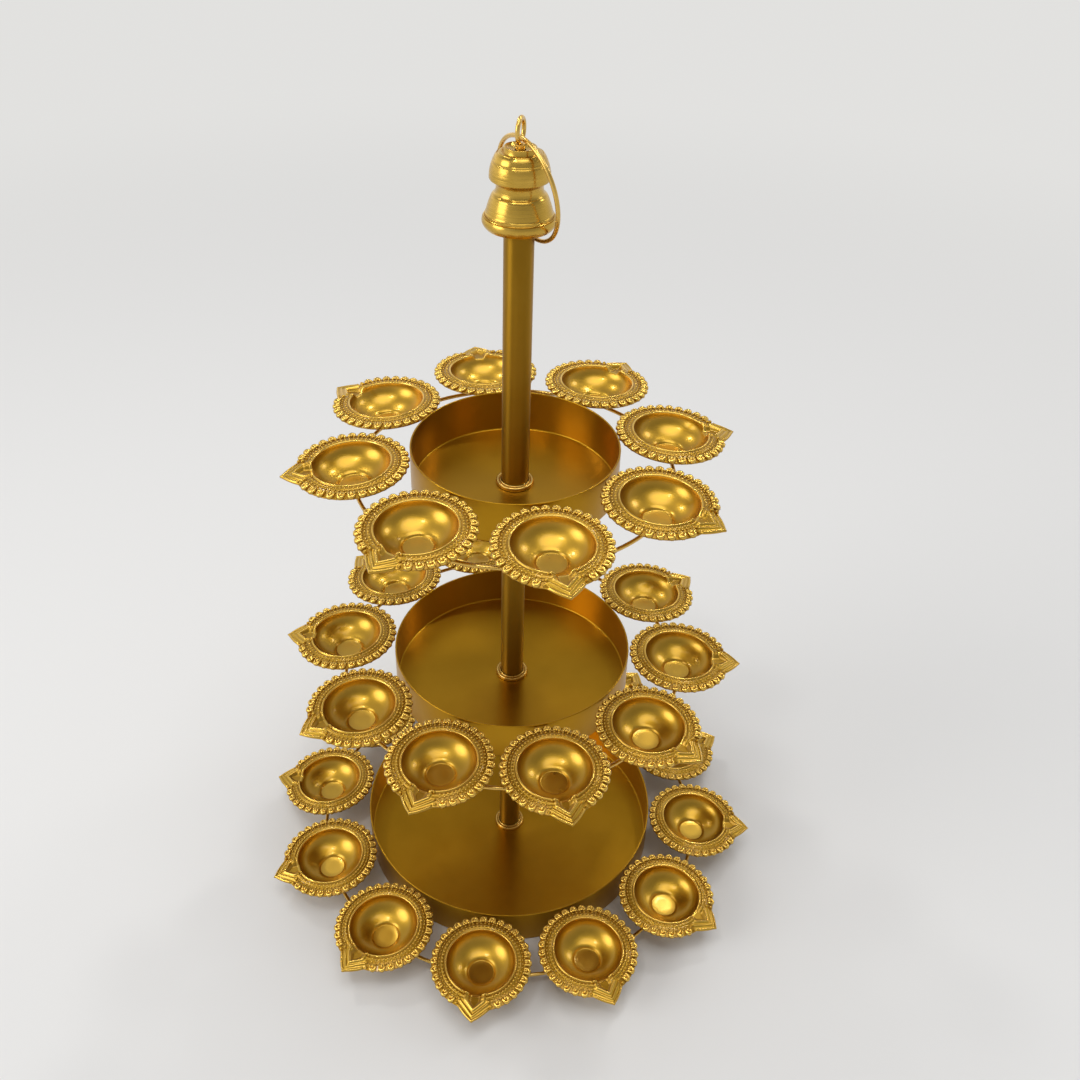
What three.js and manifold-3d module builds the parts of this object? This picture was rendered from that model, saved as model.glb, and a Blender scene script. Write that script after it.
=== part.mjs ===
// A three-tier urli of brass: round pans for water and flowers on a central post,
// each with a ring of spouted oil lamps (diyas) at its rim, and a ring at the top to hang it by.
// Millimetres, +Z up. The origin is on the ground under the middle of the lowest pan.
// Angles round the post are counted from the front (-Y) towards the right (+X).

import * as THREE from "three";
import { mergeVertices } from "three/addons/utils/BufferGeometryUtils.js";
import Module from "manifold-3d";

const wasm = await Module();
wasm.setup();

// Clearance kept between pieces that touch.
const gap = 0.3;

// The tiers from the ground up: outer radius of the pan, number of lamps,
// angle of the first lamp in degrees and radius of the post that stands in the pan.
const tierPitch = 177.4;
const bottomPanRadius = 118.6;
const middlePanRadius = 88.7;
const topPanRadius = 70.6;
const lowerPostRadius = 8.5;
const topPostRadius = 9.3;
const tiers = [
  { name: "bottom", panRadius: bottomPanRadius, lamps: 12, firstLamp: -7.1, postRadius: lowerPostRadius },
  { name: "middle", panRadius: middlePanRadius, lamps: 10, firstLamp: 13.8, postRadius: lowerPostRadius },
  { name: "top", panRadius: topPanRadius, lamps: 8, firstLamp: 12.3, postRadius: topPostRadius },
];
const topTier = tiers[tiers.length - 1];

// Pans, pressed from sheet with a straight wall and a flat floor.
const panDepth = 30.5;
const panSheet = 1.2;
const panCorner = 1.5;

// Lamps, stamped from sheet: a round bowl with a flat floor, a sloping border and a pointed spout.
const bowlRadius = 25.9;
const bowlDepth = 16;
const bowlFloorRadius = 9.8;
const bowlSheet = 1;
const borderRadius = 38.4;
const borderDrop = 2.6;
const borderEdge = 1.2;
const spoutReach = 46.6;
const spoutHalfAngle = 16;
const spoutChannel = 2.4;
const lampTilt = 3.5;
const lampBelowRim = 2.2;

// Wire hoops that the bowls of a tier are soldered to.
const hoopWire = 1.4;

// Post tubes, the low rings round their feet and the rod that pulls the stack together.
const postWall = 1.2;
const collarWidth = 3.4;
const collarHeight = 2.8;
const topPostLength = 181;
const rodRadius = 3;
const bushHeight = 14;

// Finial, turned from solid bar: a flared base, a waist, a dome and a low boss.
const finialFootRadius = 20;
const finialBandRadius = 22.8;
const finialBandTopRadius = 21.2;
const finialBandHeight = 7.4;
const finialWaistRadius = 13.8;
const finialWaistHeight = 24;
const finialDomeRadius = 18.4;
const finialDomeEdgeHeight = 28.8;
const finialDomeHeight = 44.6;
const finialShoulderRadius = 12.6;
const finialBossRadius = 9.6;
const finialHeight = 47.2;
const finialSocketDepth = 3;
const rodInFinial = 20;

// Eye screwed into the finial, and the loose ring that hangs in it.
const eyeRadius = 7;
const eyeWire = 1.5;
const eyeTurn = -15;
const eyeShankRadius = 2.6;
const eyeShankDepth = 17;
const ringBelowFinial = 9.22;
const ringWire = 1.4;
const ringSide = 122.4;

const brass = { color: 0xc2922e, metalness: 1 };
const finish = {
  pan: new THREE.MeshStandardMaterial({ ...brass, roughness: 0.3 }),
  lamp: new THREE.MeshStandardMaterial({ ...brass, roughness: 0.38 }),
  wire: new THREE.MeshStandardMaterial({ ...brass, roughness: 0.45 }),
  post: new THREE.MeshStandardMaterial({ ...brass, roughness: 0.22 }),
  finial: new THREE.MeshStandardMaterial({ color: 0xd4ac48, metalness: 1, roughness: 0.25 }),
  rod: new THREE.MeshStandardMaterial({ color: 0x9a9a98, metalness: 1, roughness: 0.5 }),
};

const urli = new THREE.Group();

function addPiece(parent, name, geometry, material) {
  const piece = new THREE.Mesh(geometry, material);
  piece.name = name;
  parent.add(piece);
  return piece;
}

// A solid of revolution from [radius, height] pairs listed up its outside and down its inside.
// Outlines that don't start and end on the axis are closed on themselves.
function turned(outline, sides) {
  const points = outline.map(([radius, height]) => new THREE.Vector2(radius, height));
  const [first, last] = [points[0], points[points.length - 1]];
  if (first.x > 0 || last.x > 0) points.push(first.clone());
  return new THREE.LatheGeometry(points, sides).rotateX(Math.PI / 2);
}

function pan(radius, holeRadius) {
  const height = panDepth + panSheet;
  const inside = radius - panSheet;
  const outline = [
    [holeRadius, 0],
    [radius - panCorner, 0],
    [radius, panCorner],
    [radius, height],
    [inside, height],
    [inside, panSheet],
    [holeRadius, panSheet],
  ];
  return turned(outline, 48);
}

function tube(outer, inner, length) {
  return turned([[inner, 0], [outer, 0], [outer, length], [inner, length]], 20);
}

function collar(postRadius) {
  const inner = postRadius + gap;
  const outer = inner + collarWidth;
  const outline = [
    [inner, 0],
    [outer, 0],
    [outer, collarHeight * 0.5],
    [outer - collarWidth * 0.35, collarHeight],
    [inner, collarHeight * 0.7],
  ];
  return turned(outline, 20);
}

// Directions round a lamp where its outline has a corner: five for the spout at 0 degrees,
// and an even number of steps round the rest, so that one corner lies opposite the spout.
function lampDirections() {
  const steps = 14;
  const step = (360 - 2 * spoutHalfAngle) / steps;
  const round = Array.from({ length: steps + 1 }, (_, i) => spoutHalfAngle + i * step);
  return [0, spoutHalfAngle / 2, ...round, 360 - spoutHalfAngle / 2];
}

// How far a direction lies into the spout: 1 at its tip, 0 at its sides and all round the rest.
function spoutShare(degrees) {
  const off = Math.min(degrees, 360 - degrees);
  return Math.max(0, 1 - off / spoutHalfAngle);
}

// One lamp, with its lip in the plane z = 0, its bowl round the origin and its spout towards -Y.
// It is lofted through rings of points from the bowl's floor over the lip to the border's edge
// and back under the border and the bowl.
function lamp() {
  const halfway = { radius: bowlRadius * 0.76, height: -bowlDepth * 0.65 };
  const underFloor = -bowlDepth - bowlSheet;
  const edge = (share) => borderRadius + (spoutReach - borderRadius) * share;
  const rings = [
    { radius: () => bowlFloorRadius, height: () => -bowlDepth },
    { radius: () => halfway.radius, height: () => halfway.height },
    { radius: () => bowlRadius, height: (share) => -spoutChannel * share },
    { radius: edge, height: () => -borderDrop },
    { radius: (share) => edge(share) - borderEdge / 2, height: () => -borderDrop - borderEdge },
    {
      radius: () => bowlRadius + bowlSheet,
      height: (share) => -bowlSheet * 1.5 - spoutChannel * share,
    },
    {
      radius: () => halfway.radius + bowlSheet * 0.8,
      height: () => halfway.height - bowlSheet * 0.8,
    },
    { radius: () => bowlFloorRadius + bowlSheet * 0.5, height: () => underFloor },
  ];
  const directions = lampDirections();
  const loops = rings.map(({ radius, height }) => directions.map((degrees) => {
    const share = spoutShare(degrees);
    const angle = THREE.MathUtils.degToRad(degrees);
    return [radius(share) * Math.sin(angle), -radius(share) * Math.cos(angle), height(share)];
  }));
  return loft(loops, [0, 0, -bowlDepth], [0, 0, underFloor]);
}

// A closed skin over loops of equally many points, with a fan to one middle point at each end.
function loft(loops, startPole, endPole) {
  const count = loops[0].length;
  const positions = [startPole, endPole, ...loops.flat()];
  const at = (loop, i) => 2 + loop * count + (i % count);
  const faces = [];
  for (let i = 0; i < count; i += 1) {
    faces.push([0, at(0, i), at(0, i + 1)]);
    for (let loop = 1; loop < loops.length; loop += 1) {
      faces.push([at(loop - 1, i), at(loop, i), at(loop, i + 1)]);
      faces.push([at(loop - 1, i), at(loop, i + 1), at(loop - 1, i + 1)]);
    }
    faces.push([1, at(loops.length - 1, i + 1), at(loops.length - 1, i)]);
  }
  const geometry = new THREE.BufferGeometry();
  geometry.setAttribute("position", new THREE.Float32BufferAttribute(positions.flat(), 3));
  geometry.setIndex(faces.flat());
  geometry.computeVertexNormals();
  return geometry;
}

function finial() {
  const bore = rodRadius + gap;
  const socket = topTier.postRadius + gap;
  const outline = new THREE.Path();
  outline.moveTo(bore, finialSocketDepth);
  outline.lineTo(socket, finialSocketDepth);
  outline.lineTo(socket, 0);
  outline.lineTo(finialFootRadius, 0);
  outline.quadraticCurveTo(
    finialBandRadius * 1.03, finialBandHeight * 0.5,
    finialBandTopRadius, finialBandHeight,
  );
  outline.quadraticCurveTo(
    finialBandTopRadius * 0.865, finialWaistHeight * 0.72,
    finialWaistRadius, finialWaistHeight,
  );
  outline.lineTo(finialDomeRadius * 0.93, finialDomeEdgeHeight);
  outline.quadraticCurveTo(
    finialDomeRadius * 1.04, finialDomeEdgeHeight + (finialDomeHeight - finialDomeEdgeHeight) * 0.2,
    finialDomeRadius * 0.95, finialDomeEdgeHeight + (finialDomeHeight - finialDomeEdgeHeight) * 0.5,
  );
  outline.quadraticCurveTo(
    finialDomeRadius * 0.86, finialDomeHeight - 1,
    finialShoulderRadius, finialDomeHeight - 0.6,
  );
  outline.lineTo(finialBossRadius, finialDomeHeight);
  outline.lineTo(finialBossRadius * 0.94, finialHeight - 0.6);
  outline.lineTo(finialBossRadius * 0.75, finialHeight);
  outline.lineTo(bore, finialHeight);
  return turned(outline.getPoints(3).map((point) => [point.x, point.y]), 20);
}

function toSolid(geometry) {
  const plain = geometry.clone();
  plain.deleteAttribute("normal");
  plain.deleteAttribute("uv");
  const merged = mergeVertices(plain);
  return new wasm.Manifold(new wasm.Mesh({
    numProp: 3,
    vertProperties: new Float32Array(merged.attributes.position.array),
    triVerts: new Uint32Array(merged.index.array),
  }));
}

function fromSolid(solid) {
  const mesh = solid.getMesh();
  const geometry = new THREE.BufferGeometry();
  geometry.setAttribute("position", new THREE.BufferAttribute(mesh.vertProperties, 3));
  geometry.setIndex(new THREE.BufferAttribute(mesh.triVerts, 1));
  geometry.computeVertexNormals();
  return geometry;
}

// The eye stands in the XZ plane with the middle of its loop at the origin.
function eye() {
  const loop = new THREE.TorusGeometry(eyeRadius, eyeWire, 8, 18).rotateX(Math.PI / 2);
  const shankTop = -eyeRadius;
  const shankBottom = -eyeRadius - eyeWire - gap - eyeShankDepth;
  const shank = new THREE.CylinderGeometry(
    eyeShankRadius, eyeShankRadius, shankTop - shankBottom, 12,
  ).rotateX(Math.PI / 2);
  shank.translate(0, 0, (shankTop + shankBottom) / 2);
  return fromSolid(toSolid(loop).add(toSolid(shank)));
}

function placeLamps(tier, tierGroup) {
  const tilt = THREE.MathUtils.degToRad(lampTilt);
  const lampDepth = bowlDepth + bowlSheet;
  const reachToPan = borderRadius * Math.cos(tilt) + (borderDrop + borderEdge) * Math.sin(tilt);
  const lampCircle = tier.panRadius + gap + reachToPan;
  const lipHeight = panDepth + panSheet - lampBelowRim;
  for (let i = 0; i < tier.lamps; i += 1) {
    const arm = new THREE.Group();
    arm.rotation.z = THREE.MathUtils.degToRad(tier.firstLamp + (i * 360) / tier.lamps);
    tierGroup.add(arm);
    const piece = addPiece(arm, `diya_${tier.name}_${i + 1}`, lamp(), finish.lamp);
    piece.position.set(0, -lampCircle, lipHeight);
    piece.rotation.x = tilt;
  }
  // The hoop runs under the middle of every bowl's floor, which the tilt moves inwards.
  const hoopRadius = lampCircle - lampDepth * Math.sin(tilt);
  const hoop = new THREE.TorusGeometry(hoopRadius, hoopWire, 6, tier.lamps * 3);
  const piece = addPiece(tierGroup, `hoop_${tier.name}`, hoop, finish.wire);
  const floorAboveHoop = (lampDepth - lampDepth * Math.sin(tilt) ** 2) / Math.cos(tilt);
  piece.position.z = lipHeight - floorAboveHoop - (hoopWire + gap) / Math.cos(tilt);
  piece.rotation.z = THREE.MathUtils.degToRad(tier.firstLamp - 90);
}

function placeTiers() {
  const rodHole = rodRadius + gap;
  tiers.forEach((tier, level) => {
    const tierGroup = new THREE.Group();
    tierGroup.position.z = level * tierPitch;
    urli.add(tierGroup);
    // The lowest pan stands on its floor, which has no hole: the rod ends in a bush above it.
    const hole = level === 0 ? 0 : rodHole;
    addPiece(tierGroup, `pan_${tier.name}`, pan(tier.panRadius, hole), finish.pan);
    const foot = panSheet + gap;
    const length = tier === topTier
      ? topPostLength + finialSocketDepth - 2 * gap
      : tierPitch - panSheet - 2 * gap;
    const post = tube(tier.postRadius, tier.postRadius - postWall, length);
    addPiece(tierGroup, `post_${tier.name}`, post, finish.post).position.z = foot;
    addPiece(tierGroup, `collar_${tier.name}`, collar(tier.postRadius), finish.wire).position.z = foot;
    placeLamps(tier, tierGroup);
  });
}

function placeTopAndRod() {
  const topFloor = (tiers.length - 1) * tierPitch + panSheet;
  const finialFoot = topFloor + topPostLength;
  addPiece(urli, "finial", finial(), finish.finial).position.z = finialFoot;

  const bushRadius = tiers[0].postRadius - postWall - gap;
  const bushFoot = panSheet + gap;
  const bush = turned([
    [rodRadius + gap, 0],
    [bushRadius, 0],
    [bushRadius, bushHeight],
    [rodRadius + gap, bushHeight],
  ], 16);
  addPiece(urli, "foot_bush", bush, finish.wire).position.z = bushFoot;

  const rodTop = finialFoot + rodInFinial;
  const rodLength = rodTop - bushFoot;
  const rod = new THREE.CylinderGeometry(rodRadius, rodRadius, rodLength, 12).rotateX(Math.PI / 2);
  addPiece(urli, "tie_rod", rod, finish.rod).position.z = bushFoot + rodLength / 2;

  const eyeMiddle = finialFoot + finialHeight + gap + eyeWire + eyeRadius;
  const eyePiece = addPiece(urli, "ring_eye", eye(), finish.finial);
  eyePiece.position.z = eyeMiddle;
  eyePiece.rotation.z = THREE.MathUtils.degToRad(90 + eyeTurn);

  // The ring lies in the bottom of the eye and hangs round the finial to just under its foot,
  // tilted until its lowest part leans on the side of the post.
  const hangingPoint = eyeMiddle - eyeRadius + eyeWire + gap + ringWire;
  const drop = hangingPoint - finialFoot + ringBelowFinial;
  const reach = topTier.postRadius + gap + ringWire;
  const ringRadius = Math.hypot(drop, reach) / 2;
  const tilt = Math.atan2(reach, drop);
  const side = new THREE.Group();
  side.position.z = hangingPoint;
  side.rotation.z = THREE.MathUtils.degToRad(ringSide);
  urli.add(side);
  const ring = new THREE.TorusGeometry(ringRadius, ringWire, 6, 40);
  ring.rotateX(Math.PI / 2).translate(0, 0, -ringRadius);
  addPiece(side, "hanging_ring", ring, finish.wire).rotation.x = -tilt;
}

placeTiers();
placeTopAndRod();

export default urli;
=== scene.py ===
# Three-tier brass urli with thirty oil lamps: its looks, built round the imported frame.
# The scene is in metres. The pieces are drawn in millimetres and scaled as they are finished.
import math

import bmesh
import bpy
from mathutils import Matrix, Vector
from mathutils.geometry import interpolate_bezier


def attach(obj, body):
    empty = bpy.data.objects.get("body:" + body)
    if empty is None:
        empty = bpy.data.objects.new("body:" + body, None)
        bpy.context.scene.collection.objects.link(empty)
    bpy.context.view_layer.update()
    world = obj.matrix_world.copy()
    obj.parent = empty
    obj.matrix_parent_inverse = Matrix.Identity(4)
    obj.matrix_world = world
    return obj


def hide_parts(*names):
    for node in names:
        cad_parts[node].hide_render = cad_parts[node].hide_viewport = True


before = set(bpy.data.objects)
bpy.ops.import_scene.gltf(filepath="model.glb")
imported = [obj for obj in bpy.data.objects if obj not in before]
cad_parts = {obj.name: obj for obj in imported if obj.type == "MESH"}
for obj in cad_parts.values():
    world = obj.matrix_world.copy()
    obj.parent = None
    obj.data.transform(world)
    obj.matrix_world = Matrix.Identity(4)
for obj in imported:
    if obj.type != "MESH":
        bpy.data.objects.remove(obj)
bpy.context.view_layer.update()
print("frame loaded with", len(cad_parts), "nodes")

mm = 0.001
gap = 0.3  # clearance that the frame keeps between touching pieces

# What every tier shares, and what differs, from the ground up.
# Angles are in degrees and run from the front towards the right.
tierPitch = 177.4
tiers = [
    {"name": "bottom", "panRadius": 118.6, "lamps": 12, "firstLamp": -7.1, "postRadius": 8.5},
    {"name": "middle", "panRadius": 88.7, "lamps": 10, "firstLamp": 13.8, "postRadius": 8.5},
    {"name": "top", "panRadius": 70.6, "lamps": 8, "firstLamp": 12.3, "postRadius": 9.3},
]


# Small helpers for materials. All but the first return the output that the next node takes.

def addNode(tree, kind, inputs=None, **settings):
    node = tree.nodes.new(kind)
    for key, value in settings.items():
        setattr(node, key, value)
    for key, value in (inputs or {}).items():
        if isinstance(value, bpy.types.NodeSocket):
            tree.links.new(value, node.inputs[key])
        else:
            node.inputs[key].default_value = value
    return node


def noise(tree, place, scale, detail, roughness=0.5):
    inputs = {"Vector": place, "Scale": scale, "Detail": detail, "Roughness": roughness}
    return addNode(tree, "ShaderNodeTexNoise", inputs).outputs["Fac"]


def ramp(tree, value, start, end, low=0.0, high=1.0, kind="LINEAR"):
    # goes from low to high while the value goes from start to end
    inputs = {"Value": value, "From Min": start, "From Max": end, "To Min": low, "To Max": high}
    node = addNode(tree, "ShaderNodeMapRange", inputs, interpolation_type=kind)
    return node.outputs["Result"]


def spread(tree, value, low, high):
    # takes a noise value from its usual middle range to low..high
    return ramp(tree, value, 0.3, 0.7, low, high)


def mixColours(tree, share, first, second):
    # a colour mix has its factor at 0, its colours at 6 and 7 and its result at 2
    node = addNode(tree, "ShaderNodeMix", {0: share, 6: first, 7: second}, data_type="RGBA")
    return node.outputs[2]


def calculate(tree, operation, *values):
    node = addNode(tree, "ShaderNodeMath", dict(enumerate(values)), operation=operation)
    return node.outputs["Value"]


# Painted shade in a stamped pattern's hollows and a painted highlight on its tops. Relief runs
# from about 0 in its hollows to about 1 on its tops.
paintedLightAndGloss = {
    "hollowShade": (0.05, 0.42),  # relief over which the painted shade thins out
    "dull": 0.12,  # change in roughness in the hollows
    "polishAndHighlight": (0.62, 0.82),  # relief over which the tops turn paler, a painted highlight
    "shine": -0.08,  # change in roughness where the tops are polished
}


def metal(name, look):
    material = bpy.data.materials.new(name)
    material.use_nodes = True
    tree = material.node_tree
    tree.nodes.clear()
    place = addNode(tree, "ShaderNodeTexCoord").outputs["Object"]
    clouds = noise(tree, place, look["cloudScale"], 5.0, 0.6)
    dark, light = (*look["dark"], 1), (*look["light"], 1)
    colour = mixColours(tree, spread(tree, clouds, 0.0, 1.0), dark, light)

    stretched = addNode(tree, "ShaderNodeMapping", {"Vector": place, "Scale": look["streakScale"]})
    streaks = noise(tree, stretched.outputs["Vector"], 1.0, 3.0, 0.55)
    grain = noise(tree, place, look["grainScale"], 2.0)
    cloudy = spread(tree, clouds, *look["roughness"])
    streaky = spread(tree, streaks, -look["streakRough"], look["streakRough"])
    roughness = calculate(tree, "ADD", cloudy, streaky)

    if "hollowShadeColour" in look:
        relief = addNode(tree, "ShaderNodeAttribute", attribute_name="relief",
                         attribute_type="GEOMETRY").outputs["Fac"]
        # painted shade in the lows of the stamped pattern: darker, and duller too
        hollowShade = ramp(tree, relief, *paintedLightAndGloss["hollowShade"], 1.0, 0.0)
        colour = mixColours(tree, hollowShade, colour, (*look["hollowShadeColour"], 1))
        roughness = calculate(tree, "MULTIPLY_ADD", hollowShade, paintedLightAndGloss["dull"], roughness)
        # and a painted highlight on its tops: paler, and polished shinier
        polishAndHighlight = ramp(tree, relief, *paintedLightAndGloss["polishAndHighlight"])
        colour = mixColours(tree, polishAndHighlight, colour, (*look["raised"], 1))
        roughness = calculate(tree, "MULTIPLY_ADD", polishAndHighlight, paintedLightAndGloss["shine"], roughness)

    height = calculate(tree, "MULTIPLY", streaks, look["streakDepth"])
    height = calculate(tree, "MULTIPLY_ADD", grain, look["grainDepth"], height)
    bump = addNode(tree, "ShaderNodeBump", {"Height": height, "Strength": 1.0, "Distance": mm})
    shader = addNode(tree, "ShaderNodeBsdfPrincipled", {
        "Metallic": 1.0, "Base Color": colour, "Roughness": roughness,
        "Normal": bump.outputs["Normal"],
    })
    if "brushed" in look:
        # fine lines run round the axis and draw the shine out across them
        around = addNode(tree, "ShaderNodeVectorMath", {0: (0.0, 0.0, 1.0), 1: place},
                         operation="CROSS_PRODUCT")
        tree.links.new(around.outputs["Vector"], shader.inputs["Tangent"])
        shader.inputs["Anisotropic"].default_value = look["brushed"]
        shader.inputs["Anisotropic Rotation"].default_value = 0.25  # a quarter turn
    if "lacquer" in look:
        shader.inputs["Coat Weight"].default_value = look["lacquer"]
        shader.inputs["Coat Roughness"].default_value = look["lacquerRoughness"]
    addNode(tree, "ShaderNodeOutputMaterial", {"Surface": shader.outputs["BSDF"]})
    return material


panLook = {
    "dark": (0.42, 0.213, 0.010), "light": (0.475, 0.25, 0.014), "cloudScale": 22.0,
    "roughness": (0.30, 0.36), "brushed": 0.55,
    "streakScale": (60.0, 60.0, 60.0), "streakRough": 0.02, "streakDepth": 0.01,
    "grainScale": 1500.0, "grainDepth": 0.003,
}
lampLook = {
    "dark": (0.48, 0.273, 0.020), "light": (0.58, 0.338, 0.031), "cloudScale": 30.0,
    # the hollows' colour is painted shade and the raised colour is a painted highlight
    "hollowShadeColour": (0.37, 0.195, 0.012), "raised": (0.80, 0.51, 0.085),
    "roughness": (0.30, 0.36), "lacquer": 0.4, "lacquerRoughness": 0.14,
    "streakScale": (250.0, 250.0, 250.0), "streakRough": 0.02, "streakDepth": 0.004,
    "grainScale": 1600.0, "grainDepth": 0.0015,
}
wireLook = {
    "dark": (0.62, 0.38, 0.07), "light": (0.74, 0.47, 0.10), "cloudScale": 45.0,
    "roughness": (0.24, 0.32), "lacquer": 0.5, "lacquerRoughness": 0.12,
    "streakScale": (300.0, 300.0, 300.0), "streakRough": 0.04, "streakDepth": 0.01,
    "grainScale": 1800.0, "grainDepth": 0.003,
}
postLook = {
    "dark": (0.30, 0.157, 0.011), "light": (0.35, 0.187, 0.017), "cloudScale": 18.0,
    "roughness": (0.36, 0.40), "brushed": 0.95,
    "streakScale": (300.0, 300.0, 8.0), "streakRough": 0.01, "streakDepth": 0.0,
    "grainScale": 1500.0, "grainDepth": 0.002,
}
finialLook = {
    "dark": (0.50, 0.305, 0.045), "light": (0.66, 0.42, 0.080), "cloudScale": 40.0,
    "roughness": (0.22, 0.30), "brushed": 0.65,
    "streakScale": (8.0, 8.0, 900.0), "streakRough": 0.14, "streakDepth": 0.10,
    "grainScale": 1500.0, "grainDepth": 0.003,
}
rodLook = {
    "dark": (0.42, 0.42, 0.41), "light": (0.52, 0.52, 0.50), "cloudScale": 60.0,
    "roughness": (0.35, 0.5),
    "streakScale": (20.0, 20.0, 1200.0), "streakRough": 0.05, "streakDepth": 0.03,
    "grainScale": 1500.0, "grainDepth": 0.01,
}
panBrass = metal("panBrass", panLook)
lampBrass = metal("lampBrass", lampLook)
wireBrass = metal("wireBrass", wireLook)
postBrass = metal("postBrass", postLook)
finialBrass = metal("finialBrass", finialLook)
rodSteel = metal("rodSteel", rodLook)
print("materials made")


# Shapes that several pieces use

def fullTurn(bm, steps):
    bmesh.ops.spin(bm, geom=bm.verts[:] + bm.edges[:], cent=(0, 0, 0), axis=(0, 0, 1),
                   dvec=(0, 0, 0), angle=2 * math.pi, steps=steps, use_merge=True,
                   use_duplicate=False)
    bmesh.ops.remove_doubles(bm, verts=bm.verts, dist=1e-4)


def turnedPiece(outline, steps, closed=True):
    # spins an outline of (radius, height) or (radius, height, corner rounding) round the Z axis
    bm = bmesh.new()
    verts = [bm.verts.new((point[0], 0, point[1])) for point in outline]
    pairs = list(zip(verts, verts[1:])) + ([(verts[-1], verts[0])] if closed else [])
    for pair in pairs:
        bm.edges.new(pair)
    for vert, point in zip(verts, outline):
        if len(point) > 2:
            bmesh.ops.bevel(bm, geom=[vert], offset=point[2], offset_type="OFFSET", segments=4,
                            profile=0.5, affect="VERTICES", material=-1)
    fullTurn(bm, steps)
    return bm


def wireRing(radius, wire, steps, sides=16):
    bm = bmesh.new()
    bmesh.ops.create_circle(bm, segments=sides, radius=wire)
    bmesh.ops.rotate(bm, verts=bm.verts, matrix=Matrix.Rotation(math.pi / 2, 3, "X"))
    bmesh.ops.translate(bm, verts=bm.verts, vec=(radius, 0, 0))
    fullTurn(bm, steps)
    return bm


def curve(start, pull, end, count):
    # points on a bend from start to end, drawn towards pull, without the first one
    a, p, b = (Vector((x, z, 0)) for x, z in (start, pull, end))
    points = interpolate_bezier(a, a + (p - a) * 2 / 3, b + (p - b) * 2 / 3, b, count + 1)
    return [(point.x, point.y) for point in points[1:]]


def finished(bm, name, place=None):
    # scales the drawn millimetres to metres, sets the mesh in its place and frees the bmesh
    bmesh.ops.recalc_face_normals(bm, faces=bm.faces)
    mesh = bpy.data.meshes.new(name)
    bm.to_mesh(mesh)
    bm.free()
    mesh.transform(Matrix.Scale(mm, 4) @ (place or Matrix.Identity(4)))
    mesh.shade_smooth()
    return mesh


def addPiece(mesh, name, material, node, body="stand", sharp=35):
    if sharp:
        mesh.set_sharp_from_angle(angle=math.radians(sharp))
    mesh.materials.clear()
    mesh.materials.append(material)
    piece = bpy.data.objects.new(name, mesh)
    bpy.context.scene.collection.objects.link(piece)
    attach(piece, body)
    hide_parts(node)


def lift(height):
    return Matrix.Translation((0, 0, height))


# Pans, of sheet, with rounded corners. The lowest one has no hole for the rod.

panSize = {
    "depth": 30.5, "sheet": 1.2, "corner": 1.9, "floorCorner": 1.1, "rim": 0.5, "hole": 3.3,
    "steps": 144,
}


def makePan(tier, level):
    size = panSize
    outer = tier["panRadius"]
    inner = outer - size["sheet"]
    top = size["depth"] + size["sheet"]
    hole = size["hole"] if level else 0.0
    outline = [
        (hole, 0), (outer, 0, size["corner"]),
        (outer, top, size["rim"]), (inner, top, size["rim"]),
        (inner, size["sheet"], size["floorCorner"]), (hole, size["sheet"]),
    ]
    bm = turnedPiece(outline, size["steps"], closed=bool(level))
    name = f"pan{tier['name'].capitalize()}"
    mesh = finished(bm, name, lift(level * tierPitch))
    addPiece(mesh, name, panBrass, f"pan_{tier['name']}")


# Posts and the collars round their feet

postSize = {"wall": 1.2, "topLength": 181.0, "socket": 3.0, "end": 0.35, "steps": 72}
collarSize = {"width": 3.4, "height": 2.8, "groove": 1.1, "foot": 0.2, "steps": 72}


def makePost(tier, level):
    size = postSize
    radius = tier["postRadius"]
    if tier is tiers[-1]:
        length = size["topLength"] + size["socket"] - 2 * gap
    else:
        length = tierPitch - panSize["sheet"] - 2 * gap
    bore = radius - size["wall"]
    outline = [(bore, 0), (radius, 0, size["end"]), (radius, length, size["end"]), (bore, length)]
    foot = level * tierPitch + panSize["sheet"] + gap
    name = f"post{tier['name'].capitalize()}"
    mesh = finished(turnedPiece(outline, size["steps"]), name, lift(foot))
    addPiece(mesh, name, postBrass, f"post_{tier['name']}")


def makeCollar(tier, level):
    size = collarSize
    inner = tier["postRadius"] + gap
    outer = inner + size["width"]
    high = size["height"]
    groove = inner + size["groove"]
    rollTop = (outer - 1.5, high * 0.88)
    grooveBed = (groove, high * 0.6)
    # a round roll, a groove and a finer roll against the post
    outline = [(inner, 0), (outer, 0, size["foot"])]
    outline += curve((outer, 0.4), (outer, high * 0.95), rollTop, 6)
    outline += curve(rollTop, (groove + 0.1, high * 0.85), grooveBed, 4)
    outline += curve(grooveBed, (groove - 0.05, high), (inner + 0.4, high), 4)
    outline.append((inner, high * 0.93))
    foot = level * tierPitch + panSize["sheet"] + gap
    name = f"collar{tier['name'].capitalize()}"
    mesh = finished(turnedPiece(outline, size["steps"]), name, lift(foot))
    addPiece(mesh, name, wireBrass, f"collar_{tier['name']}")


# The stamped lamp
# Its shell is spun as a flat disc of numbered rings, and every ring is then moved to its radius
# and height. Heights are measured from the flat band outside the lip.

lamp = {
    "bowlRadius": 25.7, "bowlDepth": 15.9, "floorDepth": 16.0, "sheet": 1.0, "discRadius": 9.4,
    "lipRadius": 27.0, "borderStart": 30.8, "borderRadius": 38.4, "borderHigh": -0.4,
    "borderLow": -2.6, "borderFall": 1.15, "edge": 1.2, "scallop": 1.15,
    "spoutReach": 46.55, "spoutAngle": 18.5, "spoutBow": 0.7, "bowFade": 5,
    "spoutSteps": 24, "restSteps": 100, "tilt": 3.5, "belowRim": 2.2,
}
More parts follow.
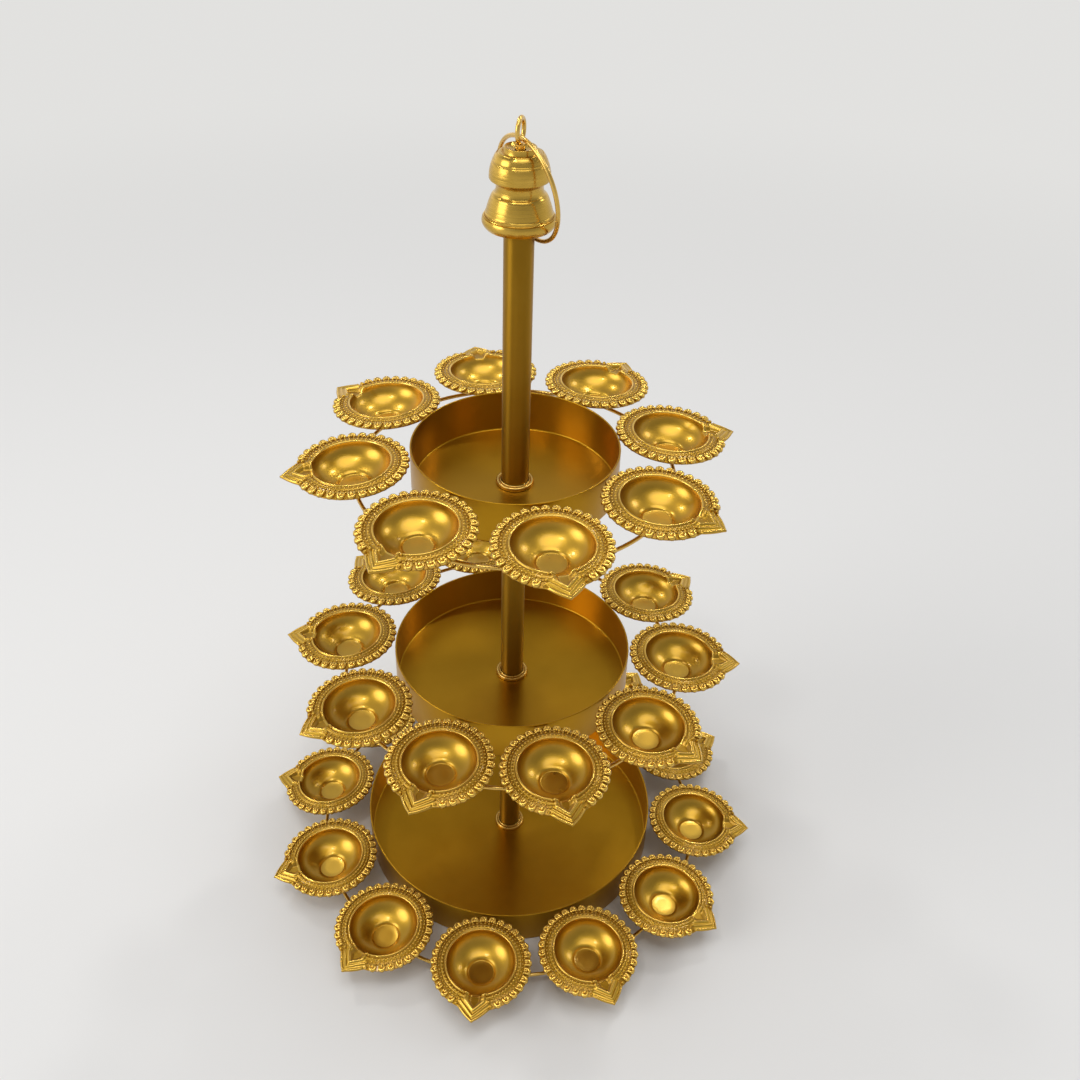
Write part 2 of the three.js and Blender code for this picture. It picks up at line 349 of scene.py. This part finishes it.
# The section of the shell, from the middle of the bowl over the border and back underneath.
# Points are (radius, height), and the edge's are (distance in from the edge, height).
# Arcs are the first lean from straight down, the step to the next, in degrees, and how many.
section = {
    "disc": [(0.0, -16.0), (5.0, -16.0), (9.2, -16.0), (9.65, -15.9), (9.95, -15.5),
             (10.25, -15.1)],
    "bowlArc": (25, 5.28, 12),
    # the rolled lip, a groove and the flat band with fine bars
    "lip": [(25.7, -0.5), (25.8, 0.05), (26.05, 0.42), (26.45, 0.55), (26.85, 0.42),
            (27.15, 0.0), (27.3, -0.35), (27.6, -0.4), (27.85, -0.1), (28.9, 0.0),
            (29.9, -0.15), (30.15, -0.5), (30.5, -0.55)],
    "borderSteps": 28,
    "edge": [(0.05, -3.0), (0.25, -3.5), (0.6, -3.8)],
    "under": [(33.5, -3.3), (30.0, -2.3), (27.2, -1.8)],
    "backArc": (80, -7.9, 8),
    "foot": [(10.75, -16.1), (10.6, -16.7), (10.2, -17.0), (5.0, -17.0), (0.0, -17.0)],
}
# The relief that the painted shade and painted highlight go by, for each part of the pattern: low
# relief paints a part darker as shade, high relief paints it paler as a highlight. Beads and
# horseshoes add some for every millimetre of height. The spout's own fades in over spoutFade
# degrees, and starts spoutMargin degrees outside its corner.
standing = {
    "plain": 0.6, "lip": 0.85, "band": 0.22, "disc": 0.68, "border": 0.1,
    "spout": 0.3, "spoutRise": 0.6, "spoutDeepest": -0.4, "spoutMargin": 3, "spoutFade": 4,
    "arch": 0.4, "bead": 0.45, "perHeight": 0.35,
}
# Plump horseshoes along the border's edge.
arch = {
    "count": 28, "clear": 23.4, "start": 32.5, "end": 38.4, "half": 2.05, "wire": 1.2,
    "rise": 0.35, "sides": 6, "bend": 5, "sink": 0.9, "sunkLength": 1.0,
    "tipSwell": 0.35, "swellFrom": 2, "swellLength": 3,
}
# Rows of beads: radius, half sizes along it, across it and upwards, count, the turn left clear
# beside the spout, and how far they stand up from the border.
beadRows = [
    {"radius": 28.9, "long": 1.1, "wide": 0.8, "high": 0.65, "count": 56, "clear": 23.4,
     "rise": 0.25},
    {"radius": 31.3, "long": 0.7, "wide": 0.8, "high": 0.8, "count": 56, "clear": 23.4,
     "rise": 0.1},
    {"radius": 34.3, "long": 1.85, "wide": 1.2, "high": 1.4, "count": 28, "clear": 23.4,
     "rise": 0.35},
    {"radius": 32.9, "long": 0.8, "wide": 0.6, "high": 0.8, "count": 29, "clear": 17.8,
     "rise": 0.1},
]
channel = {
    "start": 22.5, "end": 36.4, "halfWidth": 5.6, "low": -3.3, "high": -2.5,
    "bankShare": 0.35, "bank": 1.2, "widestTurn": 30,
}
# The sheet's underside follows the channel down, between these radii and above this height.
underChannel = {"drop": 2.6, "from": 22, "fadeIn": 5, "to": 40, "fadeOut": 8, "above": -4.0}
# Raised lines beside the spout: points as (distance from the bowl's middle, to the side).
ridges = [
    {"path": [(25.4, 6.9), (30.9, 6.9), (37.8, 0.0)], "width": 1.2, "height": 0.95},
    {"path": [(31.8, 10.2), (42.0, 0.0)], "width": 1.1, "height": 0.6},
]
edgeRoll = {"inset": 1.0, "width": 1.4, "height": 0.75, "fade": 3}
# A dark hollow where the rows of beads end: distance, side, radius and depth.
pit = {"along": 28.3, "side": 10.6, "radius": 1.5, "depth": 0.7}
# Single beads by the spout: (distance, side, radius).
spoutBeads = [(25.6, 8.6, 1.15), (30.6, 10.9, 1.4), (33.4, 12.7, 1.2), (35.1, 10.3, 0.8),
              (37.0, 8.4, 0.7), (38.8, 6.6, 0.6)]
spoutBeadRise = 0.2  # of a bead's radius


def smooth(value):
    value = min(1.0, max(0.0, value))
    return value * value * (3 - 2 * value)


def hump(distance, width):
    return 0.5 + 0.5 * math.cos(math.pi * min(1.0, abs(distance) / width))


def fromSpout(turn):
    # degrees between a direction and the spout's
    return min(turn, 360 - turn)


def edgeRadius(turn):
    # the lamp's outline: round, with a pointed spout at 0 degrees
    off = fromSpout(turn)
    root = lamp["borderRadius"] - lamp["scallop"]
    if off >= lamp["spoutAngle"]:
        return root
    corner = math.radians(lamp["spoutAngle"])
    side, reach = root * math.sin(corner), root * math.cos(corner)
    tip = lamp["spoutReach"]
    # straight run from the tip to the corner, bowed out a little
    angle = math.radians(off)
    straight = tip * side / (math.sin(angle) * (tip - reach) + math.cos(angle) * side)
    bow = math.sin(math.pi * off / lamp["spoutAngle"]) * lamp["spoutBow"]
    return straight + bow * smooth(off / lamp["bowFade"])


def borderLevel(radius):
    start = lamp["borderStart"]
    share = max(0.0, radius - start) / (lamp["borderRadius"] - start)
    fall = lamp["borderLow"] - lamp["borderHigh"]
    return lamp["borderHigh"] + fall * share ** lamp["borderFall"]


def toPath(along, side, path):
    # distance from a point to the nearest stretch of the path
    nearest = math.inf
    for (a, b), (c, d) in zip(path, path[1:]):
        run, rise = c - a, d - b
        share = ((along - a) * run + (side - b) * rise) / (run * run + rise * rise)
        share = min(1.0, max(0.0, share))
        nearest = min(nearest, math.hypot(along - a - share * run, side - b - share * rise))
    return nearest


def spoutPattern(radius, turn, height):
    # how far the channel and the raised lines lift or lower the plain surface
    off = fromSpout(turn)
    along = radius * math.cos(math.radians(off))
    side = radius * math.sin(math.radians(off))
    if off > channel["widestTurn"] or along < channel["start"]:
        return 0.0
    raised = 0.0
    run = (along - channel["start"]) / (channel["end"] - channel["start"])
    half = min(channel["halfWidth"], channel["end"] - along)
    if half > 0:
        inside = smooth((half - side) / (channel["bankShare"] * half + channel["bank"]))
        bed = channel["low"] + (channel["high"] - channel["low"]) * run
        raised -= inside * max(0.0, height - bed)
    raised += max(ridge["height"] * hump(toPath(along, side, ridge["path"]), ridge["width"])
                  for ridge in ridges)
    if off < lamp["spoutAngle"]:
        inset = edgeRadius(turn) - radius - edgeRoll["inset"]
        fade = smooth((lamp["spoutAngle"] - off) / edgeRoll["fade"])
        raised += edgeRoll["height"] * hump(inset, edgeRoll["width"]) * fade
    fromPit = math.hypot(along - pit["along"], side - pit["side"])
    raised -= pit["depth"] * hump(fromPit, pit["radius"])
    return raised


def ringsOnArc(kind, radius, depth, leans):
    # rings on a quarter of an ellipse, each at its own lean from straight down
    first, step, count = leans
    angles = [math.radians(first + number * step) for number in range(count)]
    return [(kind, radius * math.sin(angle), -depth * math.cos(angle)) for angle in angles]


def lampRings():
    # every ring as (kind, reach, height), where reach is a radius, but on the border a share of
    # its width and on the edge a distance in from it
    start, width = lamp["borderStart"], lamp["borderRadius"] - lamp["borderStart"]
    rings = [("bowl", *point) for point in section["disc"]]
    rings += ringsOnArc("bowl", lamp["bowlRadius"], lamp["bowlDepth"], section["bowlArc"])
    rings += [("lip", *point) for point in section["lip"]]
    for step in range(1, section["borderSteps"] + 1):
        share = step / section["borderSteps"]
        rings.append(("border", share, borderLevel(start + width * share)))
    rings += [("edge", *point) for point in section["edge"]]
    rings += [("under", *point) for point in section["under"]]
    rings += ringsOnArc("back", lamp["bowlRadius"] + lamp["sheet"],
                        lamp["bowlDepth"] + lamp["sheet"], section["backArc"])
    rings += [("back", *point) for point in section["foot"]]
    return rings


def turnOfStep(step, steps):
    # steps lie close together in the spout and further apart round the rest
    back = step > steps / 2
    step = min(step, steps - step)
    if step <= lamp["spoutSteps"]:
        turn = step * lamp["spoutAngle"] / lamp["spoutSteps"]
    else:
        rest = 180 - lamp["spoutAngle"]
        turn = lamp["spoutAngle"] + (step - lamp["spoutSteps"]) * rest / (lamp["restSteps"] / 2)
    return 360 - turn if back else turn


def lampShell():
    bm = bmesh.new()
    rings = lampRings()
    chain = [bm.verts.new((number, 0, 0)) for number in range(len(rings))]
    for pair in zip(chain, chain[1:]):
        bm.edges.new(pair)
    steps = 2 * lamp["spoutSteps"] + lamp["restSteps"]
    fullTurn(bm, steps)
    reliefLayer = bm.verts.layers.float.new("relief")
    for vert in bm.verts:
        kind, reach, height = rings[round(math.hypot(vert.co.x, vert.co.y))]
        step = round(math.atan2(vert.co.y, vert.co.x) / (2 * math.pi) * steps) % steps
        turn = turnOfStep(step, steps)
        edge = edgeRadius(turn)
        radius, relief = reach, standing["plain"]
        # the lip's rolled line gets a painted highlight, the band beside it some painted shade,
        # and the bowl's flat disc part of the painted highlight
        if kind == "lip":
            relief = standing["lip"] if reach < lamp["lipRadius"] else standing["band"]
        elif kind == "bowl" and reach < lamp["discRadius"]:
            relief = standing["disc"]
        if kind == "border":
            radius = lamp["borderStart"] + (edge - lamp["borderStart"]) * reach
        elif kind == "edge":
            radius = edge - reach
        elif kind == "under":
            share = reach - lamp["bowlRadius"] - lamp["sheet"]
            share /= lamp["borderRadius"] - lamp["bowlRadius"]
            radius = reach + (edge - lamp["borderRadius"]) * share
        if kind in ("bowl", "lip", "border"):
            raised = spoutPattern(radius, turn, height)
            height += raised
            if kind == "border":
                # the border's flat between the beads gets painted shade, and in the spout the
                # ridges get a painted highlight and the channel painted shade
                margin = lamp["spoutAngle"] + standing["spoutMargin"] - fromSpout(turn)
                inSpout = smooth(margin / standing["spoutFade"])
                rise = standing["spoutRise"] * max(standing["spoutDeepest"], raised)
                relief = standing["border"] + inSpout * (standing["spout"] + rise)
        if kind in ("under", "back") and height > underChannel["above"]:
            drop = underChannel["drop"] * max(0.0, 1 - fromSpout(turn) / lamp["spoutAngle"])
            drop *= smooth((reach - underChannel["from"]) / underChannel["fadeIn"])
            drop *= smooth((underChannel["to"] - reach) / underChannel["fadeOut"])
            height -= drop
        vert[reliefLayer] = relief
        angle = math.radians(turn)
        vert.co = (radius * math.sin(angle), -radius * math.cos(angle), height)
    return bm


def spreadRound(bm, clear, count):
    # copies what lies in the direction of -Y to evenly spaced places, clear of the spout
    pitch = math.radians((360 - 2 * clear) / count)
    first = Matrix.Rotation(math.radians(clear) + pitch / 2, 3, "Z")
    bmesh.ops.rotate(bm, verts=bm.verts, matrix=first)
    bmesh.ops.spin(bm, geom=bm.verts[:] + bm.edges[:] + bm.faces[:], cent=(0, 0, 0),
                   axis=(0, 0, 1), dvec=(0, 0, 0), angle=pitch * (count - 1), steps=count - 1,
                   use_merge=False, use_duplicate=True)


def ontoBorder(bm, relief):
    # lets a shape drawn on the plane follow the border's slope, and marks its height for the
    # painted shade and highlight
    reliefLayer = bm.verts.layers.float.new("relief")
    for vert in bm.verts:
        vert[reliefLayer] = relief + standing["perHeight"] * vert.co.z
        vert.co.z += borderLevel(math.hypot(vert.co.x, vert.co.y))


def drawOut(bm, edges, distance):
    # draws a loop of edges out along Y and returns its new end
    made = bmesh.ops.extrude_edge_only(bm, edges=edges)["geom"]
    verts = [item for item in made if isinstance(item, bmesh.types.BMVert)]
    bmesh.ops.translate(bm, verts=verts, vec=(0, distance, 0))
    made = [item for item in made if isinstance(item, bmesh.types.BMEdge)]
    return [edge for edge in made if all(vert in verts for vert in edge.verts)]


def arcade():
    # one horseshoe: a leg drawn out, the bend, and the other leg, then copies of it all round
    bm = bmesh.new()
    start, half, rise = arch["start"], arch["half"], arch["rise"]
    bendAt = arch["end"] - arch["wire"] - half
    sunkEnd = start + arch["sunkLength"]
    bmesh.ops.create_circle(bm, cap_ends=True, segments=arch["sides"], radius=arch["wire"])
    bmesh.ops.rotate(bm, verts=bm.verts, matrix=Matrix.Rotation(math.pi / 2, 3, "X"))
    bmesh.ops.translate(bm, verts=bm.verts, vec=(half, -start, rise))
    edges = drawOut(bm, bm.edges[:], start - sunkEnd)
    edges = drawOut(bm, edges, sunkEnd - bendAt)
    bend = bmesh.ops.spin(bm, geom=edges, cent=(0, -bendAt, rise), axis=(0, 0, -1),
                          dvec=(0, 0, 0), angle=math.pi, steps=arch["bend"], use_merge=False,
                          use_duplicate=False)["geom_last"]
    edges = [item for item in bend if isinstance(item, bmesh.types.BMEdge)]
    edges = drawOut(bm, edges, bendAt - sunkEnd)
    edges = drawOut(bm, edges, sunkEnd - start)
    bmesh.ops.holes_fill(bm, edges=edges, sides=arch["sides"])
    for vert in bm.verts:
        # the legs draw together towards the bowl, their ends sink in and the tip is plump
        out = -vert.co.y - start
        vert.co.x *= -vert.co.y / arch["end"]
        swell = smooth((out - arch["swellFrom"]) / arch["swellLength"])
        vert.co.z *= 1 + arch["tipSwell"] * swell
        vert.co.z -= arch["sink"] * max(0.0, 1 - out / arch["sunkLength"])
    bmesh.ops.recalc_face_normals(bm, faces=bm.faces)
    ontoBorder(bm, standing["arch"])
    spreadRound(bm, arch["clear"], arch["count"])
    return bm


def beadRing(row):
    bm = bmesh.new()
    bmesh.ops.create_uvsphere(bm, u_segments=6, v_segments=4, radius=1.0)
    bmesh.ops.scale(bm, verts=bm.verts, vec=(row["wide"], row["long"], row["high"]))
    bmesh.ops.translate(bm, verts=bm.verts, vec=(0, -row["radius"], row["rise"]))
    ontoBorder(bm, standing["bead"])
    spreadRound(bm, row["clear"], row["count"])
    return bm


def lampMesh():
    bm = lampShell()
    bmesh.ops.recalc_face_normals(bm, faces=bm.faces)
    reliefLayer = bm.verts.layers.float["relief"]
    for along, side, ball in spoutBeads:
        for way in (-1, 1):
            height = borderLevel(math.hypot(along, side)) + ball * spoutBeadRise
            spot = Matrix.Translation((way * side, -along, height))
            made = bmesh.ops.create_uvsphere(bm, u_segments=8, v_segments=6, radius=ball,
                                             matrix=spot)
            for vert in made["verts"]:
                vert[reliefLayer] = standing["plain"]
    for part in [arcade()] + [beadRing(row) for row in beadRows]:
        loose = bpy.data.meshes.new("lampDetail")
        part.to_mesh(loose)
        part.free()
        bm.from_mesh(loose)
        bpy.data.meshes.remove(loose)
    return finished(bm, "lampPattern")


# A ring of lamps at a pan's rim, on a wire hoop that runs under their bowls

hoopSize = {"wire": 1.4, "steps": 180}


def makeLamps(tier, level, drawn):
    tilt = math.radians(lamp["tilt"])
    depth = lamp["floorDepth"] + lamp["sheet"]
    edgeDepth = lamp["edge"] - lamp["borderLow"]
    reach = lamp["borderRadius"] * math.cos(tilt) + edgeDepth * math.sin(tilt)
    circle = tier["panRadius"] + gap + reach
    lip = level * tierPitch + panSize["depth"] + panSize["sheet"] - lamp["belowRim"]
    for number in range(tier["lamps"]):
        turn = math.radians(tier["firstLamp"] + number * 360 / tier["lamps"])
        place = Matrix.Rotation(turn, 4, "Z") @ Matrix.Translation((0, -circle * mm, lip * mm))
        mesh = drawn.copy()
        mesh.transform(place @ Matrix.Rotation(tilt, 4, "X"))
        label = f"lamp{tier['name'].capitalize()}{number + 1}"
        mesh.name = label
        addPiece(mesh, label, lampBrass, f"diya_{tier['name']}_{number + 1}",
                 sharp=0)
    hoopRadius = circle - depth * math.sin(tilt)
    floorAboveHoop = (depth - depth * math.sin(tilt) ** 2) / math.cos(tilt)
    height = lip - floorAboveHoop - (hoopSize["wire"] + gap) / math.cos(tilt)
    hoop = wireRing(hoopRadius, hoopSize["wire"], hoopSize["steps"])
    name = f"hoop{tier['name'].capitalize()}"
    mesh = finished(hoop, name, lift(height))
    addPiece(mesh, name, wireBrass, f"hoop_{tier['name']}", sharp=0)


drawnLamp = lampMesh()
print("lamp drawn with", len(drawnLamp.polygons), "faces")
for level, tier in enumerate(tiers):
    makePan(tier, level)
    makePost(tier, level)
    makeCollar(tier, level)
    makeLamps(tier, level, drawnLamp)
    print("tier made:", tier["name"])
bpy.data.meshes.remove(drawnLamp)


# The turned finial. Its points are (radius, height) over its foot.

finialFoot = 2 * tierPitch + panSize["sheet"] + postSize["topLength"]
finialSize = {
    "bore": 3.3, "foot": 20.0, "band": 22.8, "bandTop": 21.2, "coneTop": (16.9, 18.7),
    "coveFoot": (15.6, 20.3), "waist": 13.9, "waistHeight": 24.2, "domeFoot": (18.0, 29.5),
    "domeTop": (16.35, 38.6), "shoulder": 12.6, "boss": 9.6, "height": 47.2, "steps": 128,
}


def makeFinial():
    size = finialSize
    bore, foot, top, boss = size["bore"], size["foot"], size["bandTop"], size["boss"]
    socket = tiers[-1]["postRadius"] + gap
    coneFoot = (top - 1.15, 9.1)
    waist = (size["waist"], size["waistHeight"])
    dish = (boss - 1.7, size["height"] - 0.35)
    outline = [(bore, postSize["socket"]), (socket, postSize["socket"]), (socket, 0, 0.3),
               (foot, 0, 0.8)]
    outline += curve((foot, 0.4), (size["band"] * 1.03, 3.4), (top + 0.35, 6.9), 9)
    # two fine raised lines on top of the band
    outline += [(top - 0.3, 7.0), (top - 0.05, 7.45), (top - 0.5, 7.7), (top - 0.75, 7.5),
                (top - 0.95, 8.6), (top - 0.8, 8.9), coneFoot]
    # cone with a cove above it, up to the waist
    outline += curve(coneFoot, (18.7, 14.6), size["coneTop"], 9)
    outline += curve(size["coneTop"], (16.3, 19.9), size["coveFoot"], 4)
    outline += curve(size["coveFoot"], (14.1, 21.0), waist, 8)
    outline += curve(waist, (size["waist"] + 0.1, 26.6), (15.3, 27.4), 5)
    outline += [(17.0, 28.5), (17.7, 28.9), size["domeFoot"]]
    outline += curve(size["domeFoot"], (18.15, 34.0), size["domeTop"], 10)
    # turned groove and a fine step round the dome
    outline += [(16.0, 38.8), (15.95, 39.2), (16.0, 39.7), (15.7, 40.0)]
    outline += curve((15.7, 40.0), (15.1, 42.0), (14.2, 43.0), 5)
    outline += [(13.7, 43.6), (13.35, 43.3), (13.0, 43.5), (size["shoulder"], 44.2, 0.25),
                (10.6, 44.4), (boss + 0.25, 44.0), (boss, 44.3), (boss, size["height"], 0.45),
                (boss - 1.2, size["height"]), dish]
    # dished top round the eye's shank
    outline += curve(dish, (5.6, 45.4), (bore, 45.2), 6)
    mesh = finished(turnedPiece(outline, size["steps"]), "finialTurned", lift(finialFoot))
    addPiece(mesh, "finialTurned", finialBrass, "finial", sharp=50)


# The eye on top, and the loose ring that hangs in it and leans on the post

eyeSize = {
    "radius": 7.0, "wire": 1.5, "trim": 0.1, "turn": -15.0, "shank": 2.6, "shankDepth": 17.0,
    "shankEnd": 0.5, "shankSides": 32, "steps": 72,
}
ringSize = {"wire": 1.4, "below": 9.22, "side": 122.4, "steps": 144}
eyeMiddle = finialFoot + finialSize["height"] + gap + eyeSize["wire"] + eyeSize["radius"]


def makeEye():
    size = eyeSize
    bm = wireRing(size["radius"] - size["trim"], size["wire"] - size["trim"], size["steps"],
                  sides=20)
    bmesh.ops.rotate(bm, verts=bm.verts, matrix=Matrix.Rotation(math.pi / 2, 3, "X"))
    top = -size["radius"]
    bottom = top - size["wire"] - gap - size["shankDepth"]
    bmesh.ops.create_cone(bm, cap_ends=True, segments=size["shankSides"], radius1=size["shank"],
                          radius2=size["shank"], depth=top - bottom,
                          matrix=lift((top + bottom) / 2))
    # only the shank's two ends are faces with as many corners as it has sides
    caps = [face for face in bm.faces if len(face.verts) == size["shankSides"]]
    rims = [edge for cap in caps for edge in cap.edges]
    bmesh.ops.bevel(bm, geom=rims, offset=size["shankEnd"], offset_type="OFFSET", segments=3,
                    profile=0.5, affect="EDGES", material=-1)
    turn = Matrix.Rotation(math.radians(90 + size["turn"]), 4, "Z")
    mesh = finished(bm, "ringEye", lift(eyeMiddle) @ turn)
    addPiece(mesh, "ringEye", wireBrass, "ring_eye", sharp=50)


def makeRing():
    size = ringSize
    hanging = eyeMiddle - eyeSize["radius"] + eyeSize["wire"] + gap + size["wire"]
    drop = hanging - finialFoot + size["below"]
    reach = tiers[-1]["postRadius"] + gap + size["wire"]
    radius = math.hypot(drop, reach) / 2
    bm = wireRing(radius, size["wire"], size["steps"])
    bmesh.ops.rotate(bm, verts=bm.verts, matrix=Matrix.Rotation(math.pi / 2, 3, "X"))
    place = (lift(hanging) @ Matrix.Rotation(math.radians(size["side"]), 4, "Z")
             @ Matrix.Rotation(-math.atan2(reach, drop), 4, "X") @ lift(-radius))
    mesh = finished(bm, "hangingRing", place)
    addPiece(mesh, "hangingRing", wireBrass, "hanging_ring", body="ring", sharp=0)


makeFinial()
makeEye()
makeRing()
for node, material in (("tie_rod", rodSteel), ("foot_bush", wireBrass)):
    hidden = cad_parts[node]
    hidden.data.materials.clear()
    hidden.data.materials.append(material)
print("finial, eye and ring made")


# Floor, air and lights of the studio, in metres

studio = {
    "floorSize": 40.0, "floorColour": (0.76, 0.755, 0.74), "floorRoughness": 0.9,
    "floorGloss": 0.1, "paleColour": (0.76, 0.755, 0.74), "paleFrom": (0.5, 2.2),
    "airLow": (0.88, 0.88, 0.88), "airHigh": (0.37, 0.37, 0.38), "airTurn": 0.75,
    "brightSide": (-0.6, 0.8, 0.1), "sides": (0.65, 1.35),
}


def makeFloor():
    bm = bmesh.new()
    bmesh.ops.create_grid(bm, x_segments=2, y_segments=2, size=studio["floorSize"] / 2)
    mesh = bpy.data.meshes.new("studioFloor")
    bm.to_mesh(mesh)
    bm.free()
    material = bpy.data.materials.new("floorPaint")
    material.use_nodes = True
    tree = material.node_tree
    shader = tree.nodes["Principled BSDF"]
    shader.inputs["Base Color"].default_value = (*studio["floorColour"], 1)
    shader.inputs["Roughness"].default_value = studio["floorRoughness"]
    shader.inputs["Specular IOR Level"].default_value = studio["floorGloss"]
    # further out the floor turns into an evenly pale background, which lights nothing
    place = addNode(tree, "ShaderNodeTexCoord").outputs["Object"]
    distance = addNode(tree, "ShaderNodeVectorMath", {0: place}, operation="LENGTH")
    away = ramp(tree, distance.outputs["Value"], *studio["paleFrom"], kind="SMOOTHSTEP")
    ray = addNode(tree, "ShaderNodeLightPath").outputs
    seen = calculate(tree, "MAXIMUM", ray["Is Camera Ray"], ray["Is Glossy Ray"])
    seen = calculate(tree, "MAXIMUM", seen, ray["Is Transmission Ray"])
    share = calculate(tree, "MULTIPLY", away, seen)
    pale = {"Color": (*studio["paleColour"], 1), "Strength": 1.0}
    glow = addNode(tree, "ShaderNodeEmission", pale)
    both = addNode(tree, "ShaderNodeMixShader", {
        0: share, 1: shader.outputs["BSDF"], 2: glow.outputs["Emission"],
    })
    tree.links.new(both.outputs["Shader"], tree.nodes["Material Output"].inputs["Surface"])
    mesh.materials.append(material)
    floor = bpy.data.objects.new("studioFloor", mesh)
    bpy.context.scene.collection.objects.link(floor)


# Two large softboxes, a medium one and three small ones that make the bowls' bright spots.
softboxes = [
    {"at": (-2.4, -0.9, 1.6), "size": 1.8, "power": 28.0},
    {"at": (0.3, -0.5, 3.2), "size": 2.2, "power": 27.0},
    {"at": (2.0, 1.0, 1.9), "size": 0.6, "power": 5.0},
    {"at": (-1.10, 0.99, 2.24), "size": 0.25, "power": 5.5},
    {"at": (-0.68, -0.81, 2.70), "size": 0.25, "power": 5.0},
    {"at": (0.79, 1.13, 2.30), "size": 0.25, "power": 5.5},
]
softboxAim = (0, 0, 0.3)


def makeLights():
    for number, box in enumerate(softboxes):
        light = bpy.data.lights.new(f"softbox{number + 1}", "AREA")
        light.shape = "DISK"
        light.size = box["size"]
        light.energy = box["power"]
        holder = bpy.data.objects.new(light.name, light)
        holder.location = box["at"]
        aim = Vector(softboxAim) - Vector(box["at"])
        holder.rotation_euler = aim.to_track_quat("-Z", "Y").to_euler()
        bpy.context.scene.collection.objects.link(holder)


def makeAir():
    # pale at the height of the eye and darker towards the ceiling, and brighter on one side
    world = bpy.data.worlds.new("studioAir")
    world.use_nodes = True
    tree = world.node_tree
    direction = addNode(tree, "ShaderNodeTexCoord").outputs["Generated"]
    height = addNode(tree, "ShaderNodeSeparateXYZ", {"Vector": direction}).outputs["Z"]
    share = ramp(tree, height, 0.0, studio["airTurn"], kind="SMOOTHSTEP")
    air = mixColours(tree, share, (*studio["airLow"], 1), (*studio["airHigh"], 1))
    side = addNode(tree, "ShaderNodeVectorMath", {0: direction, 1: studio["brightSide"]},
                   operation="DOT_PRODUCT")
    strength = ramp(tree, side.outputs["Value"], -1.0, 1.0, *studio["sides"])
    background = tree.nodes["Background"]
    tree.links.new(air, background.inputs["Color"])
    tree.links.new(strength, background.inputs["Strength"])
    bpy.context.scene.world = world


# Place and angles come from the fit of the camera to the photograph.
# The focal length is in pixels of a picture that is 1080 across.
view = {
    "at": (0.0, -0.6469, 0.7921), "down": 36.889, "side": 1.640, "roll": 1.934,
    "focal": 1137.5, "picture": 1080,
}


def makeCamera():
    down, side, roll = (math.radians(view[key]) for key in ("down", "side", "roll"))
    flat = math.cos(down)
    forward = Vector((math.sin(side) * flat, math.cos(side) * flat, -math.sin(down)))
    right = Vector((math.cos(side), -math.sin(side), 0))
    above = right.cross(forward)
    turnedRight = math.cos(roll) * right + math.sin(roll) * above
    turnedAbove = math.cos(roll) * above - math.sin(roll) * right
    data = bpy.data.cameras.new("photoCamera")
    data.sensor_fit = "HORIZONTAL"
    data.sensor_width = 36.0
    data.lens = view["focal"] / view["picture"] * data.sensor_width
    data.clip_start = 0.02
    camera = bpy.data.objects.new("photoCamera", data)
    turn = Matrix((turnedRight, turnedAbove, -forward)).transposed().to_4x4()
    camera.matrix_world = Matrix.Translation(view["at"]) @ turn
    bpy.context.scene.collection.objects.link(camera)
    bpy.context.scene.camera = camera


makeFloor()
makeLights()
makeAir()
makeCamera()
bpy.context.scene.view_settings.view_transform = "Standard"
print("floor, light and camera set")
